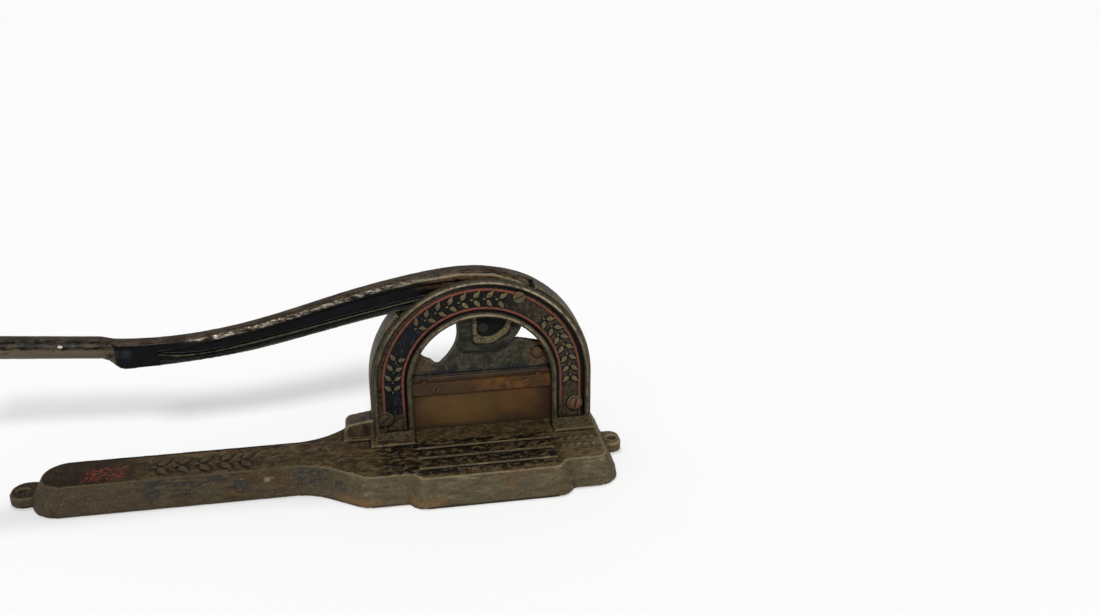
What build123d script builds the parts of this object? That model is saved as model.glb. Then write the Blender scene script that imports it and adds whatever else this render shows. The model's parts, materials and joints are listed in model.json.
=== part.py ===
from build123d import *
import os
from math import cos, radians, sin, tan

os.makedirs("parts", exist_ok=True)

# Counter plug cutter: a hollow cast base, an upright cast arch of two plates, and a long lever
# that drives a guillotine blade straight down between the plates.
# X runs along the base, Y is depth with the operator's side at -Y, Z is up.
# The origin is on the standing plane, under the middle of the arch, in the blade's plane.

# Base casting
BASE_Z = 18.0            # top of the base
BASE_Y = -19.0           # centreline of the base
SKIRT = 7.5              # how far the skirt runs out below the top edge
SKIRT_KNEE_Z = 7.0       # height where the skirt turns
SKIRT_KNEE = 6.2         # run-out at that height
TAIL_X = -284.0          # left end of the tail, on top
TAIL_HALF = 16.0
TAIL_END_R = 15.0        # plan radii: round at the tail's end, easy in the flare
FLARE_X = -113.0         # where the tail starts to widen
SHOULDER_X = -80.0       # where the flare meets the shoulder
FLARE_R = 45.0
SHOULDER_HALF = 39.5     # half widths of the three steps of the body, on top
TABLE_HALF = 47.0
END_HALF = 39.0
END_X = 76.0
LEFT_STEP = (-50.5, -46.0)                 # x where each step's flank starts and ends, on top
RIGHT_STEP = (43.0, 47.8)
CORNER_R = (12.0, 9.0, 4.0, 8.0)           # plan radii: shoulder, step roots, table corners, right end
STEP_TILT = 59.0         # degrees that each step's flank turns from the base's line
FLARE_TILT = 35.5
LUG_Z = 6.9
LUG_Y = -15.0
LUG_HOLE_R = 3.2
LUGS = (                 # hole, end, start inside the skirt, width, corner radius
    (-298.0, -305.5, -285.0, 22.0, 9.0),
    (88.0, 93.6, 78.0, 19.5, 7.0),
)
CAVITY_Z = BASE_Z - 6    # ceiling of the hollow underside
BOSS_R = 8.0             # screw bosses inside the base
SCREW_RECESS_R = 5.8
CUT_RIB = (130.0, 8.0)   # rib inside the base under the line of the cut
PAD_Z = 1.2              # raised pads under the feet of the arch
RIB_YS = (-27.5, -40.5, -54.0)
RIB_X = -2.0
RIB_L = 89.0
RIB_W = 1.2
RIB_H = 1.0
FOOT_PAD = (62.0, -2.0, 28.0, 36.0)        # centre x either side, centre y, size in x and y
SHOULDER_PAD = (-84.5, 0.5, 19.0, 19.0)
TAIL_CAVITY = (-195.0, 158.0, 20.0, 6.0)   # centre x, length, width, corner radius
BODY_CAVITY = ((-102.0, 10.0), (-76.0, 31.0), (66.0, 31.0))   # x and half width at its corners

# Arch
FOOT_Z = BASE_Z + PAD_Z
SPRING_Z = 55.0          # centre of the arch's half circles
OPENING_R = 47.0
PLATE_R = 73.0           # front plate
FRAME_R = 75.0           # rear frame
WALL = 4.0
GAP_Y = 6.5              # half the space between the two plates
FIELD_Y = -9.6           # face of the front plate's field
GROOVE_Y = -8.7
BEAD_Y = -11.2
OUTER_BEAD = 3.2         # widths of the two beads
INNER_BEAD = 3.3
FIELD_IN_R = 52.0
FIELD_OUT_R = 67.4
PLINTH = (60.2, 27.0, 24.0, 4.2)           # centre x either side, lower and upper width, height
FRAME_BACK_Y = 10.5
FRAME_RIM_Y = FRAME_BACK_Y + 1.2
FRAME_RIM = 3.0
FRAME_BOSS_Y = FRAME_BACK_Y + 1.6
FRAME_BOSS_R = 8.0
FOOT = (61.0, 28.0, 8.0, 6.0)              # centre x either side, width, depth and height
LEG_PAD_X = 54.0         # inner face of the leg pads that guide the blade carrier
LEG_PAD_Z = 64.0
LEG_PAD_FRONT_Y = -4.5
SHOULDER_BLOCK_X = -93.0 # left face of the screw block outside the left leg
SHOULDER_BLOCK_Z = (29.2, 32.0)            # its height at the left face and at the arch
SHOULDER_BLOCK_Y = (-7.5, 8.0)
WALL_END_RIGHT = 60.0    # angles where the frame's side wall stops, either side of the lever
WALL_END_LEFT = 136.6

# Lever, pivot and drive pin
PIVOT_X = 25.5
PIVOT_Z = 114.3
PIVOT_R = 3.0
PIVOT_HEAD_R = 4.0
PIVOT_HEAD_H = 1.9
SPACER_R = 4.8
WASHER_R = 6.6
WASHER_H = 1.4
PIVOT_NUT = 10.0
PIVOT_NUT_H = 5.0
PIN_ARM = 33.0
PIN_ANGLE = 225.0
PIN_R = 3.5
PIN_X = PIVOT_X + PIN_ARM * cos(radians(PIN_ANGLE))
PIN_Z = PIVOT_Z + PIN_ARM * sin(radians(PIN_ANGLE))
RUN_FIT = 0.05           # radial clearance of the running fits
LEVER_SWING = 52.0       # degrees from closed to fully raised
PIN_SWEEP = PIN_ARM * (cos(radians(PIN_ANGLE)) - cos(radians(PIN_ANGLE - LEVER_SWING)))
LEVER_HALF_Y = 5.5
HEAD_BACK_Y = 0.5
ARM_TOP = [(-231, 100.0), (-195, 99.3), (-145, 106.1), (-88, 120.9), (-40, 131.0), (-12, 134.0),
           (10, 132.2), (26, 126.2)]
ARM_BOTTOM = [(-226, 82.0), (-195, 83.3), (-150, 88.1), (-100, 98.5), (-58, 107.0)]
ARM_END = [(-228.5, 82.6), (-235, 87.6), (-241, 89.2), (-241, 99.0)]
ARM_BEVEL = ((-230.0, LEVER_HALF_Y), (-242.0, LEVER_HALF_Y), (-242.0, 0.8))   # cut from its end's corners
ARM_TOP_ROUND = 2.6      # rounding of the arm's upper edges
FLANGE_BOTTOM = [(24.5, 122.0), (8, 127.6), (-12, 129.3), (-34, 127.0), (-54, 121.5)]
PANEL_TOP = [(-206, 91.9), (-190, 93.6), (-145, 100.6), (-90, 114.8), (-44, 124.2), (-16, 127.0),
             (12, 123.4)]
PANEL_BOTTOM = [(-206, 90.9), (-190, 89.2), (-150, 93.8), (-100, 104.0), (-44, 115.4), (-16, 119.6),
                (12, 118.0)]
FLUTE_TOP = [(-206, 86.9), (-190, 87.3), (-150, 92.2), (-100, 102.4), (-40, 114.4)]
FLUTE_BOTTOM = [(-206, 86.1), (-190, 85.2), (-150, 89.8), (-100, 100.0), (-40, 112.0)]
PANEL_DEPTH = 2.2
FLUTE_DEPTH = 1.2
HEAD_R = 10.0            # round of the head about the pivot
HEAD_RIM_R = 7.4         # its thicker rim, which closes the top of the arch beside the side wall
HEAD_RIM_ANGLES = (15.0, 110.0)
PIVOT_BOSS_R = 6.7
POCKET_RADII = [0.5, 4.5, 8, 5, 0.5, 0.5]
LEDGE = ((-6.2, 104), (-6.4, 79.6), (8.5, 79.0), (19.8, 86.0), (23.6, 98), (20, 104))
POCKET = ((-2.1, 104), (-2.3, 85.4), (8.5, 85.2), (16.5, 91.0), (18.4, 98), (16, 104))
LEDGE_DEPTH = 1.3
POCKET_DEPTH = 3.0
GRIP_START = (-233.0, 0.0, 95.4)
GRIP_RISE = 4.7          # degrees that the grip rises toward its end
GRIP_LENGTH = 131.0
GRIP_ROOT = (-8.0, 4.6)  # start of the cone that leads out of the arm, and its radius there
GRIP_FULL = (7.0, 7.1)   # end of the cone, and its radius there
GRIP_END_R = 7.5

# Blade and carrier
CARRIER_HALF = 53.6
CARRIER_FRONT_Y = 1.0
CARRIER_BACK_Y = 6.0
CARRIER_Z = 22.0
CARRIER_RECESS = (33.0, 82.0, 14.0, 3.0, 2.5)   # centre z, width, height, corner radius, depth
PEG_BACK_Y = CARRIER_BACK_Y - 0.2               # back ends of the pegs and screws in the carrier
BLADE_HALF = 53.0
BLADE_Z = BASE_Z + 0.1
BLADE_TOP_Z = 56.8
BEVEL_Z = 6.0
CLAMP_HALF = 47.2
CLAMP_Z = 45.2
CLAMP_H = 8.6
CLAMP_FRONT_Y = -4.0
BLADE_HALF_Y = 1.0
CLAMP_SCREW_X = 31.0
CLAMP_SCREW_Z = CLAMP_Z + CLAMP_H / 2
CLAMP_SCREW_R = 1.8
CLAMP_HEAD_R = 2.9
CLAMP_HEAD_H = 1.6
DOWEL_X = 38.8
DOWEL_Z = CLAMP_Z + CLAMP_H
DOWEL_R = 1.9
STUD_X = 39.0
STUD_Z = 69.5
STUD_R = 2.5
STUD_HEAD_R = 4.2
SLOT_FIT = 0.8           # clearance of the drive pin in the carrier's slot

# Screws
LEG_SCREWS = ((-66.0, 32.9), (63.0, 33.4))
LEG_SCREW_R = 2.5
LEG_HEAD_R = 4.3
LEG_BOSS_R = 5.4
LEG_SEAT_Y = -10.4
LEG_HEAD_H = 2.2
LEG_NUT = 9.0
LEG_NUT_H = 4.0
BASE_SCREWS = ((-84.0, 0.0), (-62.5, 1.0), (62.5, 1.0))
BASE_SCREW_R = 2.95
BASE_SCREW_TOP_Z = 28.0
BASE_HEAD_R = 5.4
BASE_HEAD_H = 3.0
BOSS_Z = 4.5             # underside of the screw bosses inside the base

# Start and length of the cuts that run right through along Y
BEHIND_Y = 20.0
THROUGH = 40.0


def upright(y):
    """Plane facing the operator at depth y, with local x along X and local y along Z."""
    return Plane.XZ.offset(-y)


def base_plan(grow):
    """Closed plan outline of the base, grown outward by the given amount."""
    flare = grow * tan(radians(FLARE_TILT / 2))
    step = grow * tan(radians(STEP_TILT / 2))
    side = [
        (TAIL_X - grow, TAIL_HALF, TAIL_END_R + grow),
        (FLARE_X - flare, TAIL_HALF, FLARE_R - grow),
        (SHOULDER_X - flare, SHOULDER_HALF, CORNER_R[0] + grow),
        (LEFT_STEP[0] - step, SHOULDER_HALF, CORNER_R[1] - grow),
        (LEFT_STEP[1] - step, TABLE_HALF, CORNER_R[2] + grow),
        (RIGHT_STEP[0] + step, TABLE_HALF, CORNER_R[2] + grow),
        (RIGHT_STEP[1] + step, END_HALF, CORNER_R[1] - grow),
        (END_X + grow, END_HALF, CORNER_R[3] + grow),
    ]
    near = [(x, BASE_Y - half - grow) for x, half, _ in side]
    far = [(x, BASE_Y + half + grow) for x, half, _ in reversed(side)]
    radii = [r for _, _, r in side]
    return FilletPolyline(*near, *far, radius=radii + radii[::-1], close=True)


def arch_ring(outer, inner, foot):
    """Arch outline: straight legs up to the spring line, then half circles."""
    with BuildLine() as outline:
        Polyline((-outer, SPRING_Z), (-outer, foot), (-inner, foot), (-inner, SPRING_Z))
        ThreePointArc((-inner, SPRING_Z), (0, SPRING_Z + inner), (inner, SPRING_Z))
        Polyline((inner, SPRING_Z), (inner, foot), (outer, foot), (outer, SPRING_Z))
        ThreePointArc((outer, SPRING_Z), (0, SPRING_Z + outer), (-outer, SPRING_Z))
    make_face(outline.edges())


def wall_strip(side, outer, inner, end_angle):
    """One leg of the side wall, from the foot to the angle where it stops."""
    def on_arc(radius, angle):
        return (side * radius * cos(radians(angle)), SPRING_Z + radius * sin(radians(angle)))

    with BuildLine() as outline:
        Polyline(on_arc(outer, 0), (side * outer, FOOT_Z), (side * inner, FOOT_Z), on_arc(inner, 0))
        ThreePointArc(on_arc(inner, 0), on_arc(inner, end_angle / 2), on_arc(inner, end_angle))
        Line(on_arc(inner, end_angle), on_arc(outer, end_angle))
        ThreePointArc(on_arc(outer, end_angle), on_arc(outer, end_angle / 2), on_arc(outer, 0))
    make_face(outline.edges())


def band(top, bottom):
    """Strip between two smooth edges, closed by straight ends."""
    with BuildLine() as outline:
        Spline(*top)
        Line(top[-1], bottom[-1])
        Spline(*bottom)
        Line(bottom[0], top[0])
    make_face(outline.edges())


def slotted_screw(x, z, head_y, seat_y, tip_y, head_r, shank_r, slot_angle, dome=0.0):
    """Screw lying along Y with a slotted head toward the operator, its rim rounded by dome."""
    with BuildSketch(upright(tip_y)) as shank:
        with Locations((x, z)):
            Circle(shank_r)
    extrude(shank.sketch, amount=tip_y - seat_y)
    with BuildSketch(upright(seat_y)) as head:
        with Locations((x, z)):
            Circle(head_r)
    extrude(head.sketch, amount=seat_y - head_y)
    if dome:
        face = faces().filter_by_position(Axis.X, x - head_r, x + head_r).sort_by(Axis.Y)[0]
        fillet(face.edges(), dome)
    with BuildSketch(upright(head_y)) as slot:
        with Locations((x, z)):
            Rectangle(2 * head_r + 1, head_r / 3.5, rotation=slot_angle)
    extrude(slot.sketch, amount=-(seat_y - head_y) * 0.5, mode=Mode.SUBTRACT)


# Base: sloped skirt in two stages, hollow below, with lugs, foot pads and table ribs
with BuildPart() as base:
    for low_z, low_grow, high_z, high_grow in (
        (0, SKIRT, SKIRT_KNEE_Z, SKIRT_KNEE),
        (SKIRT_KNEE_Z, SKIRT_KNEE, BASE_Z, 0),
    ):
        for z, grow in ((low_z, low_grow), (high_z, high_grow)):
            with BuildSketch(Plane.XY.offset(z)):
                with BuildLine():
                    base_plan(grow)
                make_face()
        loft(ruled=True)
    for _, end_x, root_x, width, corner in LUGS:
        with BuildSketch():
            with Locations(((end_x + root_x) / 2, LUG_Y)):
                RectangleRounded(abs(end_x - root_x), width, corner)
        extrude(amount=LUG_Z)
    with BuildSketch(Plane.XY.offset(BASE_Z)):
        pad_x, pad_y, *pad_size = FOOT_PAD
        with Locations((-pad_x, pad_y), (pad_x, pad_y)):
            Rectangle(*pad_size)
        with Locations(SHOULDER_PAD[:2]):
            Rectangle(*SHOULDER_PAD[2:])
    extrude(amount=PAD_Z)
    with BuildSketch(Plane.XY.offset(BASE_Z)):
        for y in RIB_YS:
            with Locations((RIB_X, y)):
                Rectangle(RIB_L, RIB_W)
    extrude(amount=RIB_H)
    with BuildSketch():
        with Locations((TAIL_CAVITY[0], BASE_Y)):
            RectangleRounded(*TAIL_CAVITY[1:])
        with BuildLine():
            Polyline(*[(x, BASE_Y - half) for x, half in BODY_CAVITY],
                     *[(x, BASE_Y + half) for x, half in reversed(BODY_CAVITY)], close=True)
        make_face()
    extrude(amount=CAVITY_Z, mode=Mode.SUBTRACT)
    with BuildSketch(Plane.XY.offset(BOSS_Z)):
        with Locations(*BASE_SCREWS):
            Circle(BOSS_R)
    extrude(amount=CAVITY_Z - BOSS_Z)
    # Rib under the line of the cut, down to the standing plane
    with BuildSketch():
        Rectangle(*CUT_RIB)
    extrude(amount=CAVITY_Z)
    with Locations(*[(x, y, 0) for x, y in BASE_SCREWS]):
        Cylinder(BASE_SCREW_R + RUN_FIT, 3 * BASE_Z, mode=Mode.SUBTRACT)
        Cylinder(SCREW_RECESS_R, 2 * BOSS_Z, mode=Mode.SUBTRACT)
    # Slot in the pads that lets the ends of the blade down to the table
    with Locations((0, 0, BASE_Z + PAD_Z)):
        Box(2 * LEG_PAD_X, 2 * BLADE_HALF_Y + 1.2, 2 * PAD_Z, mode=Mode.SUBTRACT)
    with Locations(*[(hole_x, LUG_Y, 0) for hole_x, *_ in LUGS]):
        Cylinder(LUG_HOLE_R, 3 * LUG_Z, mode=Mode.SUBTRACT)

# Rear frame: rear plate, side wall open where the lever leaves, leg pads, feet and left shoulder
with BuildPart() as rear_frame:
    with BuildSketch(upright(FRAME_BACK_Y)):
        arch_ring(FRAME_R, OPENING_R, FOOT_Z)
    extrude(amount=FRAME_BACK_Y - GAP_Y)
    with BuildSketch(upright(GAP_Y)):
        wall_strip(1, FRAME_R, FRAME_R - WALL, WALL_END_RIGHT)
        wall_strip(-1, FRAME_R, FRAME_R - WALL, 180 - WALL_END_LEFT)
    extrude(amount=2 * GAP_Y)
    with BuildSketch(upright(GAP_Y)):
        for side in (-1, 1):
            with Locations((side * (LEG_PAD_X + FRAME_R - WALL) / 2, (FOOT_Z + LEG_PAD_Z) / 2)):
                Rectangle(FRAME_R - WALL - LEG_PAD_X, LEG_PAD_Z - FOOT_Z)
    extrude(amount=GAP_Y - LEG_PAD_FRONT_Y)
    # Feet behind the rear plate
    foot_x, foot_width, foot_depth, foot_height = FOOT
    for side in (-1, 1):
        with BuildSketch(Plane.XY.offset(FOOT_Z)):
            with Locations((side * foot_x, FRAME_BACK_Y)):
                Rectangle(foot_width, foot_depth)
        with BuildSketch(Plane.XY.offset(FOOT_Z + foot_height)):
            with Locations((side * foot_x, FRAME_BACK_Y - 2)):
                Rectangle(foot_width - 1, foot_depth - 3.6)
        loft()
    # Shoulder block outside the left leg
    with BuildSketch(upright(SHOULDER_BLOCK_Y[1])):
        with BuildLine():
            FilletPolyline((-FRAME_R + 1, FOOT_Z), (SHOULDER_BLOCK_X, FOOT_Z),
                           (SHOULDER_BLOCK_X, SHOULDER_BLOCK_Z[0]), (-FRAME_R + 1, SHOULDER_BLOCK_Z[1]),
                           radius=[0.5, 0.5, 5, 0.5], close=True)
        make_face()
    extrude(amount=SHOULDER_BLOCK_Y[1] - SHOULDER_BLOCK_Y[0])
    # Raised rims round the back
    for outer, inner in ((FRAME_R, FRAME_R - FRAME_RIM), (OPENING_R + FRAME_RIM, OPENING_R)):
        with BuildSketch(upright(FRAME_RIM_Y)):
            arch_ring(outer, inner, FOOT_Z + foot_height)
        extrude(amount=FRAME_RIM_Y - FRAME_BACK_Y)
    with BuildSketch(upright(FRAME_BOSS_Y)):
        with Locations((PIVOT_X, PIVOT_Z)):
            Circle(FRAME_BOSS_R)
    extrude(amount=FRAME_BOSS_Y - FRAME_BACK_Y)
    with BuildSketch(upright(BEHIND_Y)):
        with Locations((PIVOT_X, PIVOT_Z)):
            Circle(PIVOT_R + RUN_FIT)
        with Locations(*LEG_SCREWS):
            Circle(LEG_SCREW_R + RUN_FIT)
    extrude(amount=THROUGH, mode=Mode.SUBTRACT)
    with Locations(*[(x, y, (FOOT_Z + BASE_SCREW_TOP_Z) / 2) for x, y in BASE_SCREWS]):
        Cylinder(BASE_SCREW_R + RUN_FIT, BASE_SCREW_TOP_Z - FOOT_Z + 0.6, mode=Mode.SUBTRACT)

# Front plate: grooved field between two raised beads, plinths at the feet
PLATE_BANDS = (
    (PLATE_R, OPENING_R, GROOVE_Y),
    (PLATE_R, PLATE_R - OUTER_BEAD, BEAD_Y),
    (FIELD_OUT_R, FIELD_IN_R, FIELD_Y),
    (OPENING_R + INNER_BEAD, OPENING_R, BEAD_Y),
)
with BuildPart() as front_plate:
    for outer, inner, face_y in PLATE_BANDS:
        with BuildSketch(upright(-GAP_Y)):
            arch_ring(outer, inner, FOOT_Z)
        extrude(amount=-GAP_Y - face_y)
    plinth_x, plinth_low, plinth_high, plinth_height = PLINTH
    for side in (-1, 1):
        with BuildSketch(Plane.XY.offset(FOOT_Z)):
            with Locations((side * plinth_x, -10.5)):
                Rectangle(plinth_low, 8)
        with BuildSketch(Plane.XY.offset(FOOT_Z + plinth_height)):
            with Locations((side * plinth_x, -9.5)):
                Rectangle(plinth_high, 4.5)
        loft()
    with BuildSketch(upright(-GAP_Y)):
        with Locations(*LEG_SCREWS):
            Circle(LEG_BOSS_R)
    extrude(amount=-GAP_Y - LEG_SEAT_Y)
    # Room for the screw heads where they meet the outer bead, then the through holes
    with BuildSketch(upright(LEG_SEAT_Y)):
        with Locations(*LEG_SCREWS):
            Circle(LEG_HEAD_R + 0.2)
    extrude(amount=LEG_SEAT_Y - 2 * BEAD_Y, mode=Mode.SUBTRACT)
    with BuildSketch(upright(0)):
        with Locations((PIVOT_X, PIVOT_Z)):
            Circle(PIVOT_R + RUN_FIT)
        with Locations(*LEG_SCREWS):
            Circle(LEG_SCREW_R + RUN_FIT)
    extrude(amount=THROUGH, mode=Mode.SUBTRACT)

# Lever: flanged arm, thin head with its lobe and pivot boss, and a round grip
with BuildPart() as lever:
    with BuildSketch(upright(LEVER_HALF_Y)):
        with BuildLine():
            Spline(*ARM_TOP)
            Line(ARM_TOP[-1], FLANGE_BOTTOM[0])
            Spline(*FLANGE_BOTTOM)
            Line(FLANGE_BOTTOM[-1], ARM_BOTTOM[-1])
            Spline(*ARM_BOTTOM)
            Polyline(ARM_BOTTOM[0], *ARM_END, ARM_TOP[0])
        make_face()
    extrude(amount=2 * LEVER_HALF_Y)
    upper = [edge for edge in edges() if edge.length > 200 and edge.center().Z > ARM_TOP[0][1]]
    fillet(upper, ARM_TOP_ROUND)
    for side in (-1, 1):
        with BuildSketch():
            with BuildLine():
                Polyline(*[(x, side * y) for x, y in ARM_BEVEL], close=True)
            make_face()
        extrude(amount=PIVOT_Z, mode=Mode.SUBTRACT)
    with BuildSketch(upright(HEAD_BACK_Y)):
        with BuildLine():
            Spline(*FLANGE_BOTTOM)
            Polyline(FLANGE_BOTTOM[-1], (-57, 108), (-26, 110))
            ThreePointArc((-26, 110), (-17.5, 106.5), (-14.5, 98))
            Line((-14.5, 98), (-14.5, 80))
            ThreePointArc((-14.5, 80), (-13.3, 77.6), (-10.5, 76.6))
            Line((-10.5, 76.6), (7, 75.6))
            ThreePointArc((7, 75.6), (19.5, 80.5), (28, 92))
            Polyline((28, 92), (31.4, 111.5), (30.5, 117.5), FLANGE_BOTTOM[0])
        make_face()
        with Locations((PIVOT_X, PIVOT_Z)):
            Circle(HEAD_R)
    extrude(amount=HEAD_BACK_Y + LEVER_HALF_Y)
    with BuildSketch(upright(LEVER_HALF_Y)):
        with BuildLine():
            start, end = HEAD_RIM_ANGLES
            outer = CenterArc((PIVOT_X, PIVOT_Z), HEAD_R, start, end - start)
            inner = CenterArc((PIVOT_X, PIVOT_Z), HEAD_RIM_R, start, end - start)
            Line(outer @ 0, inner @ 0)
            Line(outer @ 1, inner @ 1)
        make_face()
    extrude(amount=2 * LEVER_HALF_Y)
    # Panel and flute along both sides, running on to the head
    for face_y, into in ((-LEVER_HALF_Y, -1), (LEVER_HALF_Y, 1)):
        for top, bottom, depth in (
            (PANEL_TOP, PANEL_BOTTOM, PANEL_DEPTH),
            (FLUTE_TOP, FLUTE_BOTTOM, FLUTE_DEPTH),
        ):
            with BuildSketch(upright(face_y)):
                band(top, bottom)
            extrude(amount=into * depth, mode=Mode.SUBTRACT)
    # Pocket in the lobe's face, with a ledge round it
    for outline, depth in ((LEDGE, LEDGE_DEPTH), (POCKET, POCKET_DEPTH)):
        with BuildSketch(upright(-LEVER_HALF_Y)):
            with BuildLine():
                FilletPolyline(*outline, radius=POCKET_RADII, close=True)
            make_face()
        extrude(amount=-depth, mode=Mode.SUBTRACT)
    # Pivot boss, nearly filling the space between plate and spacer
    with BuildSketch(upright(-LEVER_HALF_Y)):
        with Locations((PIVOT_X, PIVOT_Z)):
            Circle(PIVOT_BOSS_R)
    extrude(amount=GAP_Y - LEVER_HALF_Y - 0.2)
    grip_plane = Plane(
        origin=GRIP_START,
        x_dir=(-cos(radians(GRIP_RISE)), 0, sin(radians(GRIP_RISE))),
        z_dir=(0, 1, 0),
    )
    with BuildSketch(grip_plane):
        with BuildLine():
            Polyline((GRIP_LENGTH, 0), (GRIP_ROOT[0], 0), GRIP_ROOT, GRIP_FULL,
                     (GRIP_LENGTH - GRIP_END_R, GRIP_END_R))
            CenterArc((GRIP_LENGTH - GRIP_END_R, 0), GRIP_END_R, 0, 90)
        make_face()
    revolve(axis=Axis(GRIP_START, (-cos(radians(GRIP_RISE)), 0, sin(radians(GRIP_RISE)))))
    with BuildSketch(upright(BEHIND_Y)):
        with Locations((PIVOT_X, PIVOT_Z)):
            Circle(PIVOT_R + RUN_FIT)
        with Locations((PIN_X, PIN_Z)):
            Circle(PIN_R)
    extrude(amount=THROUGH, mode=Mode.SUBTRACT)

# Drive pin, peened flush in the lobe's pocket and standing out behind into the carrier's slot
with BuildPart() as drive_pin:
    with BuildSketch(upright(CARRIER_BACK_Y + 0.2)):
        with Locations((PIN_X, PIN_Z)):
            Circle(PIN_R)
    extrude(amount=CARRIER_BACK_Y + 0.2 + LEVER_HALF_Y - POCKET_DEPTH)

# Pivot bolt, its spacer, washer and nut
with BuildPart() as pivot_bolt:
    slotted_screw(PIVOT_X, PIVOT_Z, FIELD_Y - PIVOT_HEAD_H, FIELD_Y, FRAME_BACK_Y + 9.5,
                  PIVOT_HEAD_R, PIVOT_R, 20, 0.8)

with BuildPart() as pivot_spacer:
    with BuildSketch(upright(GAP_Y)):
        with Locations((PIVOT_X, PIVOT_Z)):
            Circle(SPACER_R)
            Circle(PIVOT_R + RUN_FIT, mode=Mode.SUBTRACT)
    extrude(amount=GAP_Y - HEAD_BACK_Y - 0.1)

WASHER_BACK_Y = FRAME_BOSS_Y + WASHER_H
with BuildPart() as pivot_washer:
    with BuildSketch(upright(WASHER_BACK_Y)):
        with Locations((PIVOT_X, PIVOT_Z)):
            Circle(WASHER_R)
            Circle(PIVOT_R + RUN_FIT, mode=Mode.SUBTRACT)
    extrude(amount=WASHER_H)

with BuildPart() as pivot_nut:
    with BuildSketch(upright(WASHER_BACK_Y + PIVOT_NUT_H)):
        with Locations((PIVOT_X, PIVOT_Z)):
            Rectangle(PIVOT_NUT, PIVOT_NUT, rotation=14)
            Circle(PIVOT_R + RUN_FIT, mode=Mode.SUBTRACT)
    extrude(amount=PIVOT_NUT_H)


def blade_holes():
    """Clamp screw and dowel holes shared by the carrier, the blade and the clamp bar."""
    with Locations((-CLAMP_SCREW_X, CLAMP_SCREW_Z), (CLAMP_SCREW_X, CLAMP_SCREW_Z)):
        Circle(CLAMP_SCREW_R)
    with Locations((-DOWEL_X, DOWEL_Z), (DOWEL_X, DOWEL_Z)):
        Circle(DOWEL_R)


# Blade carrier: a plate with two ears, a neck with the drive slot, and a seat for the blade
with BuildPart() as blade_carrier:
    with BuildSketch(upright(CARRIER_BACK_Y)):
        with BuildLine():
            Polyline((-CARRIER_HALF, CARRIER_Z), (-CARRIER_HALF, 69))
            ThreePointArc((-CARRIER_HALF, 69), (-51, 74.3), (-45.5, 76.4))
            Polyline((-45.5, 76.4), (-42.5, 75.4), (-37.8, 70.4), (-33.6, 68.4), (-30.2, 65.0), (-27.5, 65.2))
            Spline((-27.5, 65.2), (-19.8, 73.7), (-15.0, 87.2), tangents=((1, 0.9), (0.05, 1)))
            Line((-15.0, 87.2), (-15.2, 95))
            ThreePointArc((-15.2, 95), (-3, 100.4), (9.2, 95))
            Line((9.2, 95), (10.5, 91))
            Spline((10.5, 91), (16, 81.5), (27, 79.2), tangents=((0.1, -1), (1, -0.1)))
            Polyline((27, 79.2), (38, 76.8), (46, 74.8))
            ThreePointArc((46, 74.8), (51, 73.2), (CARRIER_HALF, 69))
            Polyline((CARRIER_HALF, 69), (CARRIER_HALF, CARRIER_Z), (-CARRIER_HALF, CARRIER_Z))
        make_face()
    extrude(amount=CARRIER_BACK_Y - CARRIER_FRONT_Y)
    slot_left = PIN_X - PIN_SWEEP - PIN_R - SLOT_FIT
    slot_right = PIN_X + PIN_R + SLOT_FIT
    with BuildSketch(upright(BEHIND_Y)):
        with Locations(((slot_left + slot_right) / 2, PIN_Z - 0.6)):
            RectangleRounded(slot_right - slot_left, 2 * (PIN_R + SLOT_FIT), 1.5)
        blade_holes()
        with Locations((STUD_X, STUD_Z)):
            Circle(STUD_R)
    extrude(amount=THROUGH, mode=Mode.SUBTRACT)
    # Shadow groove above the blade's top edge
    with BuildSketch(upright(CARRIER_FRONT_Y)):
        with Locations((0, BLADE_TOP_Z + 0.9)):
            Rectangle(2 * CARRIER_HALF - 8, 1.5)
    extrude(amount=-1.5, mode=Mode.SUBTRACT)
    # Back of the carrier lightened between its edge rails
    with BuildSketch(upright(CARRIER_BACK_Y)):
        with Locations((0, CARRIER_RECESS[0])):
            RectangleRounded(*CARRIER_RECESS[1:4])
    extrude(amount=CARRIER_RECESS[4], mode=Mode.SUBTRACT)

with BuildPart() as blade:
    with BuildSketch(Plane.YZ.offset(-BLADE_HALF)):
        with BuildLine():
            Polyline((-BLADE_HALF_Y, BLADE_Z), (-BLADE_HALF_Y, BLADE_TOP_Z), (BLADE_HALF_Y, BLADE_TOP_Z),
                     (BLADE_HALF_Y, BLADE_Z + BEVEL_Z), (-BLADE_HALF_Y + 0.2, BLADE_Z), close=True)
        make_face()
    extrude(amount=2 * BLADE_HALF)
    with BuildSketch(upright(BEHIND_Y)):
        blade_holes()
    extrude(amount=THROUGH, mode=Mode.SUBTRACT)

with BuildPart() as clamp_bar:
    with BuildSketch(upright(-BLADE_HALF_Y)):
        with Locations((0, CLAMP_SCREW_Z)):
            Rectangle(2 * CLAMP_HALF, CLAMP_H)
    extrude(amount=-BLADE_HALF_Y - CLAMP_FRONT_Y)
    with BuildSketch(upright(BEHIND_Y)):
        blade_holes()
    extrude(amount=THROUGH, mode=Mode.SUBTRACT)

with BuildPart() as clamp_screws:
    for side, angle in ((-1, 70), (1, 15)):
        slotted_screw(side * CLAMP_SCREW_X, CLAMP_SCREW_Z, CLAMP_FRONT_Y - CLAMP_HEAD_H, CLAMP_FRONT_Y,
                      PEG_BACK_Y, CLAMP_HEAD_R, CLAMP_SCREW_R, angle)

with BuildPart() as blade_dowels:
    with BuildSketch(upright(PEG_BACK_Y)):
        with Locations((-DOWEL_X, DOWEL_Z), (DOWEL_X, DOWEL_Z)):
            Circle(DOWEL_R)
    extrude(amount=PEG_BACK_Y - CLAMP_FRONT_Y - 0.5)

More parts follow.
